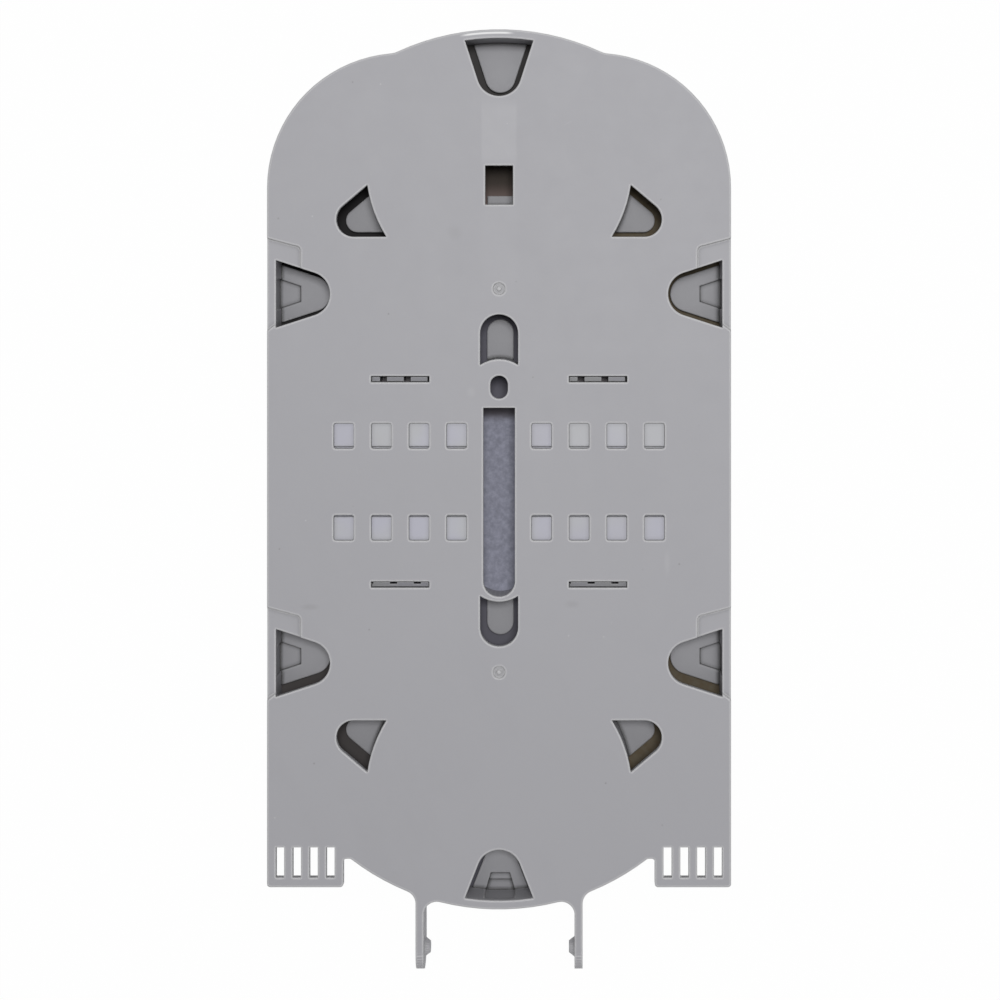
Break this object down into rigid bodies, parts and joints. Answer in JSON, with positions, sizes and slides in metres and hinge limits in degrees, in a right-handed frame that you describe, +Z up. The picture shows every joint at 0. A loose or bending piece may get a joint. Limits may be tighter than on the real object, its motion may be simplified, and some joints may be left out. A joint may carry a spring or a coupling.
{
  "type": "fibre splice tray",
  "caption": "Flat moulded fibre splice tray with rounded far end, under-tab windows, press-in splice holders, cable-tie ladders and hinge legs.",
  "frame": {"origin": "on the surface that the tray lies on, under the middle of its overall width and length", "axes": "+Z up through the flat back of the plate, +Y from the hinge legs to the latch end, +X to the right seen from above"},
  "size_m": [0.098, 0.1996, 0.009],
  "materials": {
    "tray_grey": "matte moulded, mid grey",
    "holder_white": "matte moulded, white"
  },
  "bodies": {
    "root": {"tray": "tray_grey", "splice_holder_left": "holder_white", "splice_holder_right": "holder_white"}
  },
  "joints": []
}
